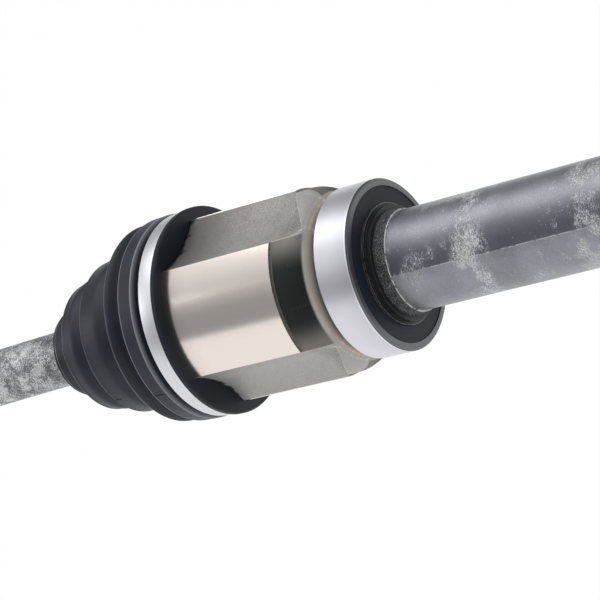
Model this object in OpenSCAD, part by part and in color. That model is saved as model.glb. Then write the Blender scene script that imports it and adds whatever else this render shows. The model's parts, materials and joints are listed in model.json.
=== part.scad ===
// Right-hand drive shaft of a front-wheel-drive car: a long-stemmed tripod housing carried by a
// support bearing, a half shaft, and a ball joint with its stub axle at the wheel end.
// Millimetres. X runs along the stem, +X is the gearbox end, +Z is up. The origin is the centre
// of the support bearing. Left of the tripod everything droops with the half shaft.

/* [Support bearing] */
// Outside diameter of the outer ring
bearing_od = 75; // [72:0.5:80]
// Bore of the inner ring, which is also the seat on the stem
bearing_bore = 45; // [44.4:0.1:47]
// Width of both rings
bearing_w = 17.5; // [16:0.5:24]
// Diameter of the bearing balls
bearing_ball_d = 8.7; // [7:0.1:9]
// Number of bearing balls
bearing_ball_count = 12; // [8:1:14]
// Thickness of each rubber seal
seal_t = 1.2; // [0.8:0.1:2]
// Radial height of each bearing ring, from its land to its seat
ring_t = 4.1; // [3.6:0.1:4.3]
// Depth of the shoulder in the outer ring that each seal clips into
seal_seat = 0.8; // [0.4:0.1:1.4]

/* [Stem] */
// Diameter of the forged stem
stem_d = 43.6; // [40:0.1:44]
// Distance from the bearing centre to the end of the forged stem
stem_end = 232; // [150:1:320]
// Diameter of the ground journal for the gearbox oil seal
journal_d = 40; // [34:0.5:43]
// Length of the ground journal
journal_len = 36; // [20:1:50]
// Outside diameter of the gearbox spline
stem_spline_d = 31; // [26:0.5:33]
// Length of the gearbox spline
stem_spline_len = 42; // [30:1:60]
// Number of teeth on the gearbox spline
stem_spline_teeth = 27; // [20:1:34]
// Offset of the two forging halves, which leaves the flash line
flash_offset = 0.3; // [0.1:0.1:0.8]
// Axial length of the black retaining collar
collar_len = 3.2; // [2:0.1:6]
// Axial length of the lock ring pressed on after the collar
lock_len = 5.6; // [4:0.1:9]

/* [Tulip housing] */
// Outside diameter over the three lobes
tulip_od = 84; // [82:0.5:90]
// Distance from the bearing centre to the open end of the housing
tulip_open = 97; // [94:1:104]
// Distance from the bearing centre to the end of the turned land
land_end = 28.4; // [26:0.2:34]
// Depth of the step from the land to the shoulder
land_step = 1; // [0.5:0.1:1.6]
// Radius of the rounded shoulder
shoulder_round = 14; // [10:0.5:15]
// Radius of the hollow between two lobes
valley_r = 50; // [40:1:70]
// Distance from the axis to the floor of that hollow
valley_floor = 34.7; // [33:0.1:37]
// Distance from the bearing centre to the floor of the roller tracks
track_floor = 28; // [26:0.5:34]
// Radius of the hollow for the spider's hub
hub_clear_r = 24.5; // [22:0.5:26]

/* [Tripod] */
// Distance from the bearing centre to the tripod centre
tripod_pos = 63; // [60:0.5:66]
// Distance from the axis to each roller's centre
roller_pos = 23.5; // [22.5:0.1:24.5]
// Diameter of each spherical roller
roller_d = 31; // [28:0.5:32]
// Height of each roller along its trunnion
roller_h = 12; // [9:0.5:12]
// Diameter of each trunnion
trunnion_d = 16.4; // [14:0.1:18]
// Diameter of the needles
needle_d = 2.4; // [2:0.1:3]
// Running gap between a roller and its track
track_gap = 0.9; // [0.8:0.1:1.2]
// Width of the spider's hub
hub_w = 20; // [16:1:24]

/* [Half shaft] */
// Diameter of the bar
shaft_d = 26; // [24:0.5:28]
// Distance between the tripod centre and the ball joint centre
joint_spacing = 400; // [300:5:520]
// Angle at which the half shaft droops at rest
droop = 2.3; // [0:0.1:5]
// Diameter of the splined ends inside the joints
bar_spline_d = 25; // [22:0.5:25]

/* [Inner boot] */
// Outside diameter of the adapter's flange
adapter_od = 94.4; // [93:0.2:98]
// Length of the housing that the adapter covers
adapter_reach = 11; // [10:0.5:12.5]
// Thickness of the adapter's flange
adapter_flange = 2.9; // [2:0.1:5]
// Skin of the adapter over the lobes
adapter_skin = 1.6; // [1:0.1:2.2]
// Thickness of the boot under the clamp
cuff_t = 1.9; // [1.2:0.1:2.4]
// Wall thickness of the folds
boot_wall = 2.6; // [1.8:0.1:3]
// Width of the large clamp band
clamp_w = 6.9; // [5:0.1:7]
// Thickness of the clamp bands
clamp_t = 0.9; // [0.6:0.1:1.4]

/* [Ball joint] */
// Outside diameter of the bell
bell_od = 93; // [91:0.5:100]
// Diameter of the six balls
cv_ball_d = 17.4; // [16:0.2:17.8]
// Radius of the circle that the balls lie on
cv_ball_circle = 31; // [30:0.5:31.5]
// Radius of the grooves that the balls run in
cv_groove_r = 10; // [9.8:0.1:10.2]
// Thickness of the ball cage
cv_cage_t = 6.4; // [4:0.2:7]
// Width of the ball cage
cv_cage_w = 22; // [20:1:24]
// Width of the inner race
race_w = 20; // [17:1:21]
// Running gap between the cage and both races
cv_gap = 0.2; // [0.1:0.05:0.3]

/* [Stub axle] */
// Distance from the ball joint centre to the face that meets the hub
stub_face = 44; // [42:1:50]
// Diameter of the pilot
pilot_d = 34; // [32:0.5:40]
// Length of the pilot
pilot_len = 8; // [5:0.5:12]
// Outside diameter of the hub spline
stub_spline_d = 28; // [25:0.5:30]
// Length of the hub spline
stub_spline_len = 46; // [35:1:60]
// Number of teeth on the hub spline
stub_spline_teeth = 27; // [20:1:32]
// Outside diameter of the thread
thread_d = 24; // [20:0.5:24.5]
// Length of the thread
thread_len = 28; // [22:1:36]
// Pitch of the thread
thread_pitch = 1.5; // [1:0.25:2]
// Width of the hub nut across its flats
nut_af = 36; // [32:1:40]
// Height of the hub nut
nut_h = 13; // [10:0.5:18]

/* [Hidden] */
$fn = 96;
over = 1;

// Bearing
ring_r = bearing_od / 2;
seat_r = bearing_bore / 2;
half_w = bearing_w / 2;
inner_land_r = seat_r + ring_t;
outer_land_r = ring_r - ring_t;
pitch_r = (inner_land_r + outer_land_r) / 2;
ball_r = bearing_ball_d / 2;
race_gap = 0.1;
pocket_gap = 0.07;
bearing_cage_t = 2.2;
bearing_cage_edge = 0.8;
seal_r = outer_land_r + seal_seat;
seal_inset = 0.4;
seal_lip_gap = 0.08;
ring_chamfer = 0.8;

// Stem
stem_r = stem_d / 2;
collar_end = half_w + collar_len;
collar_lip = 0.75;
collar_step = 1.4;
lock_end = collar_end + lock_len;
lock_flare = 1.35;
lock_edge = 0.5;
lock_band = 1;
lock_seat_r = stem_r - 0.2;
flash_angle = 158.4;
journal_taper = 12;
journal_start = stem_end + journal_taper;
journal_end = journal_start + journal_len;
relief_len = 4;
spline_start = journal_end + relief_len;
spline_end = spline_start + stem_spline_len;
spline_depth = 1.2;
stem_core_r = stem_spline_d / 2 - spline_depth - 1;
spline_chamfer = 2;
clip_depth = 0.6;
clip_slot = 3;
circlip_w = 1.8;
circlip_from_end = 6;
circlip_proud = 0.7;

// Tulip housing. Lobes lie at 30, 150 and 270 degrees from +Y towards +Z.
tulip_r = tulip_od / 2;
lobe_angle = 30;
track_r = roller_d / 2 + track_gap;
track_wall = 5.2;
shoulder_r = tulip_r - land_step;
face_gap = 1.25;
shoulder_right = -half_w - face_gap;
shoulder_x = shoulder_right - shoulder_round;
mouth_flare = 4.5;
mouth_depth = 17;
// The hollows either side of the seen lobe run out along a slanted plane
runout_x = -30.2;
runout_slope = 29.4;
hidden_runout_x = -20;

// Tripod
roller_r = roller_d / 2;
roller_bottom = roller_pos - roller_h / 2;
roller_top = roller_pos + roller_h / 2;
needle_gap = 0.02;
needle_len = roller_h - 1;
needle_pitch_r = trunnion_d / 2 + needle_d / 2 + needle_gap;
needle_count = floor(180 / asin((needle_d / 2 + needle_gap) / needle_pitch_r));
roller_bore_r = needle_pitch_r + needle_d / 2 + needle_gap;
hub_gap = 0.3;
hub_r = roller_bottom - hub_gap;
retainer_t = 1.5;
retainer_gap = 0.2;
retainer_r = roller_bore_r - retainer_gap;
trunnion_proud = 0.8;
trunnion_top = roller_top + retainer_gap + retainer_t + trunnion_proud;

// Half shaft, drawn along s, the distance from the tripod centre
shaft_r = shaft_d / 2;
bar_spline_r = bar_spline_d / 2;
clip_w = 1.6;
clip_proud = 1.5;
bar_clip_depth = 0.8;
bar_end = 4;

// Inner boot. Each entry is [distance from the bearing centre, outer radius].
adapter_x = tulip_open - adapter_reach;
cuff_x = adapter_x + adapter_flange;
adapter_body_r = tulip_r + adapter_skin;
cuff_r = adapter_body_r + cuff_t;
clamp_gap = 0.1;
ear_angle = -30;
ear_len = 8;
ear_h = 5;
ear_t = 1.2;
rib_start = tulip_open + 3;
rib_end = tulip_open + 10.9;
rib_r = cuff_r + 1.3;
first_valley = tulip_open + 13.3;
first_valley_r = cuff_r - 4.3;
cuff_bore = cuff_r - 5;
fold_gap = 0.3;
fold_a_knots = [[first_valley, first_valley_r], [first_valley + 5.6, cuff_r - 0.3],
                [first_valley + 12.9, cuff_r - 11.9],
                [first_valley + 21.5 - fold_gap, cuff_r - 9.6]];
fold_b_knots = [[first_valley + 21.5, cuff_r - 9.6], [first_valley + 29.2, cuff_r - 10.1],
                [first_valley + 34, cuff_r - 16.5], [first_valley + 40.2, cuff_r - 14.5],
                [first_valley + 45.7 - fold_gap, cuff_r - 15.5]];
neck_start = first_valley + 51;
neck_end = first_valley + 61.6;
neck_r = shaft_r + 7;
fold_c_knots = [[first_valley + 45.7, cuff_r - 15.5], [neck_start, neck_r],
                [neck_end, neck_r - 0.4]];
boot_sides = 40;
boot_steps = 4;
small_clamp_w = 4.5;
small_clamp_inset = 2.4;

// Ball joint, drawn from its own centre
cv_ball_r = cv_ball_d / 2;
cage_in_r = cv_ball_circle - 3.4;
cage_out_r = cage_in_r + cv_cage_t;
window_gap = 0.1;
bell_r = bell_od / 2;
bell_cavity_r = cage_out_r + cv_gap;
bell_mouth = 14;
bell_seat_r = bell_r - 1.5;
bell_seat_len = 14;
bell_body_end = 16;
bell_round = 24;
bell_shoulder_r = 30;
bell_shoulder_t = 8;
groove_sweep = 80;
pilot_end = stub_face + pilot_len;
stub_spline_end = pilot_end + stub_spline_len;
stub_end = stub_spline_end + thread_len;
thread_r = thread_d / 2;
thread_depth = 0.9;
washer_t = 4;
washer_r = nut_af / 2 + 3;
nut_inset = 2;
nut_chamfer = 3;
nut_base = nut_inset - stub_end;
centre_hole_r = 3;

// Outer boot. Each entry is [distance from the ball joint centre, outer radius].
outer_cuff_t = 2.2;
outer_cuff_r = bell_seat_r + outer_cuff_t;
outer_neck_r = shaft_r + 7;
outer_cuff_start = 1;
outer_fold_start = bell_mouth + 2;
outer_d_knots = [[outer_fold_start, outer_cuff_r], [outer_fold_start + 2.5, outer_cuff_r - 3],
                 [outer_fold_start + 7, outer_cuff_r + 2.6],
                 [outer_fold_start + 12.5, outer_cuff_r - 5]];
outer_c_knots = [[outer_fold_start + 12.5, outer_cuff_r - 5],
                 [outer_fold_start + 17.5, outer_cuff_r - 0.4],
                 [outer_fold_start + 23, outer_cuff_r - 8.5]];
outer_b_knots = [[outer_fold_start + 23, outer_cuff_r - 8.5],
                 [outer_fold_start + 28, outer_cuff_r - 4.4],
                 [outer_fold_start + 32.5, outer_cuff_r - 12.5]];
outer_a_knots = [[outer_fold_start + 32.5, outer_cuff_r - 12.5],
                 [outer_fold_start + 37.5, outer_cuff_r - 8.4],
                 [outer_fold_start + 42, outer_cuff_r - 16.5],
                 [outer_fold_start + 47, outer_cuff_r - 12.6],
                 [outer_fold_start + 51.5, outer_cuff_r - 20.5],
                 [outer_fold_start + 56, outer_cuff_r - 17],
                 [outer_fold_start + 61, outer_neck_r]];
outer_neck_start = outer_fold_start + 61;
outer_neck_end = outer_fold_start + 78;

// Turns a flat outline given as [radius, x] about the X axis
module turned() rotate([0, 90, 0]) rotate_extrude() children();

// A band of that outline between two stations and two radii
module band(x0, x1, r0, r1) translate([r0, min(x0, x1)]) square([r1 - r0, abs(x1 - x0)]);

module rod(x0, x1, r) translate([min(x0, x1), 0, 0]) rotate([0, 90, 0]) cylinder(h = abs(x1 - x0), r = r);

module tube(x0, x1, r0, r1) turned() band(x0, x1, r0, r1);

// Places a child that points along +Y at lobe number i
module at_lobe(i) rotate([lobe_angle + 120 * i, 0, 0]) children();

// Puts a child drawn along the half shaft where the drooping half shaft lies
module on_shaft() translate([-tripod_pos, 0, 0]) rotate([0, -droop, 0]) children();

// Puts a child drawn from the ball joint centre in its place
module on_ball_joint() on_shaft() translate([-joint_spacing, 0, 0]) children();

// Splined bar: teeth with flat tips and flat roots
function spline_outline(teeth, tip, root) = [
    for (i = [0:teeth - 1], k = [0:3])
        let (a = 360 / teeth * (i + [0, 0.2, 0.45, 0.75][k]), r = k == 1 || k == 2 ? tip : root)
            [r * cos(a), r * sin(a)]];

module spline(x0, x1, tip, teeth)
    translate([x0, 0, 0]) rotate([0, 90, 0])
        linear_extrude(x1 - x0) polygon(spline_outline(teeth, tip, tip - spline_depth));

// Smooth line through knots of [station, radius], each stretch eased at both ends
function eased(t) = t * t * (3 - 2 * t);
function stretch(p, q, last) = [
    for (k = [0:boot_steps - (last ? 0 : 1)])
        let (t = k / boot_steps) [p[0] + (q[0] - p[0]) * t, p[1] + (q[1] - p[1]) * eased(t)]];
function smooth_line(knots) = [
    for (i = [0:len(knots) - 2])
        each stretch(knots[i], knots[i + 1], i == len(knots) - 2)];

// Share of the droop that a ring of the inner boot takes
function droop_share(x) = eased(min(1, max(0, (x - first_valley) / (neck_start - first_valley))));

// One ring of the inner boot, swung about the tripod centre by its share of the droop
function boot_ring(x, r) =
    let (a = droop * droop_share(x), s = x - tripod_pos)
        [for (j = [0:boot_sides - 1])
            let (u = r * cos(360 * j / boot_sides), v = r * sin(360 * j / boot_sides))
                [-tripod_pos - s * cos(a) - v * sin(a), u, -s * sin(a) + v * cos(a)]];

// Closed rubber wall between two lists of rings: outer and inner, both from left to right
module boot_wall_solid(outer, inner) {
    n = boot_sides;
    rings = concat(outer, [for (i = [len(inner) - 1:-1:0]) inner[i]]);
    count = len(rings);
    points = [for (p = rings) each boot_ring(p[0], p[1])];
    faces = [for (i = [0:count - 1], j = [0:n - 1])
        let (i2 = (i + 1) % count, j2 = (j + 1) % n)
            [i * n + j, i * n + j2, i2 * n + j2, i2 * n + j]];
    polyhedron(points = points, faces = faces, convexity = 6);
}

function inner_wall(line) = [for (p = line) [p[0], p[1] - boot_wall]];

module bearing_outer_ring() color("gainsboro") difference() {
    turned() polygon([[seat_r, -half_w], [ring_r - ring_chamfer, -half_w],
                      [ring_r, -half_w + ring_chamfer], [ring_r, half_w - ring_chamfer],
                      [ring_r - ring_chamfer, half_w], [seat_r, half_w]]);
    rod(-half_w - over, half_w + over, outer_land_r);
    turned() translate([pitch_r, 0]) circle(r = ball_r + race_gap);
    for (side = [-1, 1])
        rod(side * (half_w - seal_inset - seal_t), side * (half_w + over), seal_r);
}

// One rubber seal, clipped into the outer ring and just clear of the inner ring
module bearing_seal(side) color("midnightblue")
    tube(side * (half_w - seal_inset - seal_t), side * (half_w - seal_inset),
         inner_land_r + seal_lip_gap, seal_r);

module at_bearing_balls()
    for (i = [0:bearing_ball_count - 1])
        rotate([360 / bearing_ball_count * i, 0, 0]) translate([0, pitch_r, 0]) children();

module bearing_cage() color("tan") difference() {
    tube(-ball_r - bearing_cage_edge, ball_r + bearing_cage_edge,
         pitch_r - bearing_cage_t / 2, pitch_r + bearing_cage_t / 2);
    at_bearing_balls() translate([0, -ball_r, 0]) rotate([-90, 0, 0])
        cylinder(h = 2 * ball_r, r = ball_r + pocket_gap);
}

module bearing_balls() color("silver") at_bearing_balls() sphere(r = ball_r);

module bearing_inner_ring() color("silver") difference() {
    tube(-half_w, half_w, seat_r, inner_land_r);
    turned() translate([pitch_r, 0]) circle(r = ball_r + race_gap);
}

module retaining_collar() color("black") {
    tube(half_w, half_w + collar_lip, seat_r, inner_land_r);
    tube(half_w + collar_lip, collar_end, seat_r, inner_land_r - collar_step);
}

// Tapered ring pressed on against the collar, with a rough outer face
module lock_ring() color("slategray") turned()
    polygon([[lock_seat_r, collar_end], [stem_r + lock_flare, collar_end],
             [stem_r + lock_flare, collar_end + lock_band], [stem_r + lock_edge, lock_end],
             [lock_seat_r, lock_end]]);

// Forged blank of the tulip, before its hollows
module tulip_blank() turned() {
    band(-tulip_open, -land_end, 0, tulip_r);
    band(-land_end, shoulder_x, 0, shoulder_r);
    band(shoulder_x, shoulder_right, 0, shoulder_r - shoulder_round);
    intersection() {
        translate([shoulder_r - shoulder_round, shoulder_x]) circle(r = shoulder_round);
        band(shoulder_x, shoulder_right, 0, shoulder_r);
    }
    band(shoulder_right, -half_w, 0, inner_land_r);
}

// The hollow between two lobes, centred on +Y turned by 60 degrees from lobe i
module valley_cut(i, x_end)
    at_lobe(i) rotate([60, 0, 0]) translate([0, valley_floor + valley_r, 0])
        rod(-tulip_open - over, x_end, valley_r);

// The side of the slanted runout plane that the forging dies left hollow
module runout_side()
    at_lobe(1) translate([runout_x, 0, 0]) rotate([0, 0, -runout_slope])
        translate([-2 * tulip_open, -tulip_open, -tulip_open]) cube(2 * tulip_open);

module tulip_cavity() {
    intersection() {
        union() {
            for (i = [0:2])
                at_lobe(i) translate([0, roller_pos, 0]) rod(-tulip_open - over, -track_floor, track_r);
            rod(-tulip_open - over, -track_floor, hub_clear_r);
        }
        rod(-tulip_open - over, -track_floor, tulip_r - track_wall);
    }
    turned() polygon([[0, -tulip_open - over], [hub_clear_r + mouth_flare, -tulip_open - over],
                      [hub_clear_r + mouth_flare, -tulip_open],
                      [hub_clear_r, -tulip_open + mouth_depth], [0, -tulip_open + mouth_depth]]);
}

// Long stem: bearing seat, forged bar in two halves, seal journal, spline
module stem() {
    rod(shoulder_right - over, collar_end, seat_r);
    rod(collar_end, lock_end + over, lock_seat_r);
    rod(shoulder_right - over, spline_start + over, stem_core_r);
    rotate([flash_angle, 0, 0]) intersection_for (side = [-1, 1])
        translate([0, 0, side * flash_offset]) rod(lock_end, stem_end, stem_r + flash_offset);
    turned() polygon([[0, stem_end - over], [lock_seat_r, stem_end - over],
                      [lock_seat_r, stem_end], [journal_d / 2, journal_start],
                      [journal_d / 2, journal_end - 1], [journal_d / 2 - 1, journal_end],
                      [0, journal_end]]);
    rod(journal_end, spline_start, stem_spline_d / 2 - spline_depth);
    difference() {
        intersection() {
            spline(spline_start, spline_end, stem_spline_d / 2, stem_spline_teeth);
            turned() polygon([[0, spline_start], [stem_spline_d / 2 + over, spline_start],
                              [stem_spline_d / 2 + over, spline_end - spline_chamfer - over],
                              [stem_spline_d / 2 - spline_chamfer, spline_end], [0, spline_end]]);
        }
        tube(spline_end - circlip_from_end - circlip_w, spline_end - circlip_from_end,
             stem_spline_d / 2 - spline_depth - clip_depth, stem_spline_d);
    }
}

module tulip_housing() color("dimgray") {
    difference() {
        tulip_blank();
        intersection() {
            union() {
                valley_cut(0, 0);
                valley_cut(1, 0);
            }
            runout_side();
        }
        valley_cut(2, hidden_runout_x);
        tulip_cavity();
    }
    stem();
}

// Open ring with a gap towards -Z
module circlip(x0, x1, r0, r1) difference() {
    tube(x0, x1, r0, r1);
    translate([x0 - over, -clip_slot / 2, -r1 - over])
        cube([x1 - x0 + 2 * over, clip_slot, r1 - r0 + 2 * over]);
}

module stem_circlip() color("silver")
    circlip(spline_end - circlip_from_end - circlip_w, spline_end - circlip_from_end,
            stem_spline_d / 2 - spline_depth - clip_depth, stem_spline_d / 2 + circlip_proud);

module trilobe_adapter() color("black") difference() {
    turned() {
        polygon([[0, -cuff_x], [adapter_od / 2 - 0.6, -cuff_x], [adapter_od / 2, -cuff_x + 0.6],
                 [adapter_od / 2, -adapter_x - 0.6], [adapter_od / 2 - 0.6, -adapter_x],
                 [0, -adapter_x]]);
        band(-tulip_open, -cuff_x, 0, adapter_body_r);
    }
    difference() {
        rod(-tulip_open - over, -adapter_x + over, tulip_r);
        for (i = [0:2]) valley_cut(i, 0);
    }
}

// Clamp band with its crimped ear on the far side
module clamp_band(x0, x1, r) {
    tube(x0, x1, r, r + clamp_t);
    rotate([ear_angle, 0, 0]) translate([x0, r + clamp_t / 2, -ear_len / 2]) difference() {
        cube([x1 - x0, ear_h, ear_len]);
        translate([-over, 0, ear_t])
            cube([x1 - x0 + 2 * over, ear_h - ear_t, ear_len - 2 * ear_t]);
    }
}

module inner_large_clamp() color("silver")
    clamp_band(-cuff_x - clamp_gap - clamp_w, -cuff_x - clamp_gap, cuff_r);

module inner_boot_cuff() color("black") turned()
    polygon([[adapter_body_r, -cuff_x], [cuff_r, -cuff_x], [cuff_r, -cuff_x - clamp_w - 0.4],
             [cuff_r - 2, -tulip_open - 0.4], [cuff_r - 2, -tulip_open - 1.2],
             [rib_r - 0.6, -rib_start], [rib_r, -rib_start - 0.8], [rib_r - 0.3, -rib_end + 0.8],
             [rib_r - 1, -rib_end], [first_valley_r, -first_valley],
             [first_valley_r - boot_wall, -first_valley], [cuff_bore, -first_valley + 2],
             [cuff_bore, -tulip_open], [adapter_body_r, -tulip_open]]);

module inner_boot_fold(knots) color("black") {
    line = smooth_line(knots);
    boot_wall_solid(line, inner_wall(line));
}

module inner_boot_fold_a() inner_boot_fold(fold_a_knots);
module inner_boot_fold_b() inner_boot_fold(fold_b_knots);

// Last fold and the neck that grips the half shaft
module inner_boot_fold_c() color("black") {
    line = smooth_line(fold_c_knots);
    grip = (shaft_r + 0.02) / cos(180 / boot_sides);
    boot_wall_solid(line, [for (p = line) [p[0], p[0] < neck_start ? max(grip, p[1] - boot_wall) : grip]]);
}

module inner_small_clamp() color("black") on_shaft()
    tube(tripod_pos - neck_end + small_clamp_inset, tripod_pos - neck_end + small_clamp_inset + small_clamp_w,
         neck_r, neck_r + clamp_t);

module tripod_spider() color("silver") on_shaft() difference() {
    union() {
        rod(-hub_w / 2, hub_w / 2, hub_r);
        for (i = [0:2])
            at_lobe(i) rotate([-90, 0, 0]) cylinder(h = trunnion_top, r = trunnion_d / 2);
    }
    rod(-hub_w, hub_w, bar_spline_r);
}

module spider_circlip() color("silver") on_shaft()
    circlip(hub_w / 2, hub_w / 2 + clip_w, bar_spline_r - bar_clip_depth, bar_spline_r + clip_proud);

module roller_retainers() color("dimgray") on_shaft() for (i = [0:2])
    at_lobe(i) translate([0, roller_top + retainer_gap, 0]) rotate([-90, 0, 0]) difference() {
        cylinder(h = retainer_t, r = retainer_r);
        translate([0, 0, -over]) cylinder(h = retainer_t + 2 * over, r = trunnion_d / 2);
    }

module tripod_roller(i) color("lightgray") on_shaft() at_lobe(i)
    translate([0, roller_pos, 0]) rotate([-90, 0, 0]) rotate_extrude() intersection() {
        circle(r = roller_r);
        translate([roller_bore_r, -roller_h / 2]) square([roller_r, roller_h]);
    }

module roller_needles(i) color("silver") on_shaft() at_lobe(i)
    translate([0, roller_pos, 0]) rotate([-90, 0, 0]) for (k = [0:needle_count - 1])
        rotate([0, 0, 360 / needle_count * k]) translate([needle_pitch_r, 0, -needle_len / 2])
            cylinder(h = needle_len, r = needle_d / 2, $fn = 24);

module half_shaft() color("dimgray") on_shaft() difference() {
    union() {
        rod(-hub_w / 2, hub_w / 2 + clip_w + bar_end, bar_spline_r);
        rod(-joint_spacing + race_w / 2, -hub_w / 2, shaft_r);
        rod(-joint_spacing - race_w / 2 - clip_w - bar_end, -joint_spacing + race_w / 2, bar_spline_r);
    }
    tube(hub_w / 2, hub_w / 2 + clip_w, bar_spline_r - bar_clip_depth, shaft_r);
    tube(-joint_spacing - race_w / 2 - clip_w, -joint_spacing - race_w / 2,
         bar_spline_r - bar_clip_depth, shaft_r);
}

// The part of a ball groove that ball k sweeps, as a ring segment about the joint centre
module ball_groove(k, sweep)
    rotate([60 * k, 0, 0]) rotate([0, 0, 90 - sweep / 2])
        rotate_extrude(angle = sweep) translate([cv_ball_circle, 0]) circle(r = cv_groove_r);

module at_cv_balls() for (k = [0:5]) rotate([60 * k, 0, 0]) children();

module cv_inner_race() color("silver") on_ball_joint() difference() {
    turned() intersection() {
        circle(r = cage_in_r - cv_gap);
        band(-race_w / 2, race_w / 2, bar_spline_r, cage_in_r);
    }
    for (k = [0:5]) ball_groove(k, groove_sweep);
}

module race_circlip() color("silver") on_ball_joint()
    circlip(-race_w / 2 - clip_w, -race_w / 2, bar_spline_r - bar_clip_depth, bar_spline_r + clip_proud);

module cv_ball_cage() color("gray") on_ball_joint() difference() {
    turned() intersection() {
        difference() {
            circle(r = cage_out_r);
            circle(r = cage_in_r);
        }
        band(-cv_cage_w / 2, cv_cage_w / 2, 0, cage_out_r);
    }
    at_cv_balls() rotate([-90, 0, 0]) cylinder(h = cage_out_r + over, r = cv_ball_r + window_gap);
}

module cv_balls() color("silver") on_ball_joint()
    at_cv_balls() translate([0, cv_ball_circle, 0]) sphere(r = cv_ball_r);

// Fine thread as a row of closed grooves
module thread(x0, x1) turned()
    polygon(concat([[0, x0]], [for (x = [x0:thread_pitch:x1 - thread_pitch]) each
        [[thread_r - thread_depth, x], [thread_r, x + thread_pitch * 0.4],
         [thread_r, x + thread_pitch * 0.6]]],
        [[thread_r - thread_depth, x1], [0, x1]]));

module bell_blank() turned() {
    band(bell_mouth - bell_seat_len, bell_mouth, 0, bell_seat_r);
    band(-bell_body_end, bell_mouth - bell_seat_len, 0, bell_r);
    intersection() {
        translate([bell_r - bell_round, -bell_body_end]) circle(r = bell_round);
        band(-bell_body_end - bell_round, -bell_body_end, 0, bell_r);
    }
    band(-bell_body_end - bell_round, -bell_body_end, 0, bell_r - bell_round);
    band(-stub_face, -stub_face + bell_shoulder_t, 0, bell_shoulder_r);
}

module wheel_stub() color("gray") on_ball_joint() difference() {
    union() {
        difference() {
            bell_blank();
            sphere(r = bell_cavity_r);
            for (k = [0:5]) ball_groove(k, groove_sweep);
        }
        rod(-pilot_end, -stub_face, pilot_d / 2);
        spline(-stub_spline_end, -pilot_end, stub_spline_d / 2, stub_spline_teeth);
        thread(-stub_end, -stub_spline_end);
    }
    turned() polygon([[0, -stub_end - over], [centre_hole_r + over, -stub_end - over],
                      [0, -stub_end + centre_hole_r]]);
}

// Rubber wall turned about the shaft, from knots counted from the ball joint centre
module outer_boot_wall(knots) color("black") on_ball_joint() turned() {
    line = smooth_line(knots);
    polygon([for (p = concat(line, [for (i = [len(line) - 1:-1:0]) [line[i][0], line[i][1] - boot_wall]]))
        [p[1], p[0]]]);
}

module outer_boot_cuff() color("black") on_ball_joint() turned()
    polygon([[bell_seat_r, outer_cuff_start], [outer_cuff_r, outer_cuff_start],
             [outer_cuff_r, outer_fold_start], [outer_cuff_r - boot_wall, outer_fold_start],
             [outer_cuff_r - boot_wall, bell_mouth], [bell_seat_r, bell_mouth]]);

module outer_boot_neck() color("black") on_ball_joint() turned()
    polygon([[shaft_r, outer_neck_start + 2], [shaft_r, outer_neck_end],
             [outer_neck_r - 0.6, outer_neck_end], [outer_neck_r, outer_neck_end - 1],
             [outer_neck_r, outer_neck_start], [outer_neck_r - boot_wall, outer_neck_start]]);

module outer_small_clamp() color("silver") on_ball_joint()
    tube(outer_neck_start + 4, outer_neck_start + 4 + clamp_w, outer_neck_r, outer_neck_r + clamp_t);

module outer_large_clamp() color("silver") on_ball_joint()
    clamp_band(outer_cuff_start + 2, outer_cuff_start + 2 + clamp_w, outer_cuff_r);

module hub_washer() color("silver") on_ball_joint()
    tube(nut_base + nut_h, nut_base + nut_h + washer_t, thread_r, washer_r);

module hub_nut() color("darkgray") on_ball_joint() difference() {
    intersection() {
        translate([nut_base, 0, 0]) rotate([0, 90, 0])
            cylinder(h = nut_h, r = nut_af / sqrt(3), $fn = 6);
        turned() polygon([[0, nut_base], [nut_af / 2, nut_base],
                          [nut_af / 2 + nut_chamfer, nut_base + nut_chamfer * 2 / 3],
                          [nut_af / 2 + nut_chamfer, nut_base + nut_h],
                          [0, nut_base + nut_h]]);
    }
    rod(-stub_end - over, nut_base + nut_h + over, thread_r);
}

bearing_outer_ring();
bearing_seal(1);  // bearing_stem_seal
bearing_seal(-1);  // bearing_joint_seal
bearing_cage();
bearing_balls();
bearing_inner_ring();
retaining_collar();
lock_ring();
tulip_housing();
stem_circlip();
trilobe_adapter();
inner_large_clamp();
inner_boot_cuff();
inner_boot_fold_a();
inner_boot_fold_b();
inner_boot_fold_c();
inner_small_clamp();
tripod_spider();
spider_circlip();
roller_retainers();
tripod_roller(0);  // tripod_roller_1
tripod_roller(1);  // tripod_roller_2
tripod_roller(2);  // tripod_roller_3
roller_needles(0);  // roller_needles_1
roller_needles(1);  // roller_needles_2
roller_needles(2);  // roller_needles_3
half_shaft();
cv_inner_race();
race_circlip();
cv_ball_cage();
cv_balls();
wheel_stub();
outer_boot_neck();
outer_boot_wall(outer_a_knots);  // outer_boot_fold_a
outer_boot_wall(outer_b_knots);  // outer_boot_fold_b
outer_boot_wall(outer_c_knots);  // outer_boot_fold_c
outer_boot_wall(outer_d_knots);  // outer_boot_fold_d
outer_boot_cuff();
outer_small_clamp();
outer_large_clamp();
hub_washer();
hub_nut();
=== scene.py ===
"""Dresses the drive shaft of a front-wheel-drive car: finishes for its steel, rubber and plastic
pieces, smooth rubber boots over both joints, crimped boot clamps, and a white studio."""

import json
import math
from functools import reduce
from types import SimpleNamespace

import bmesh
import bpy
from bpy.props import FloatProperty, FloatVectorProperty, IntProperty, PointerProperty
from mathutils import Matrix, Vector


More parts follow.
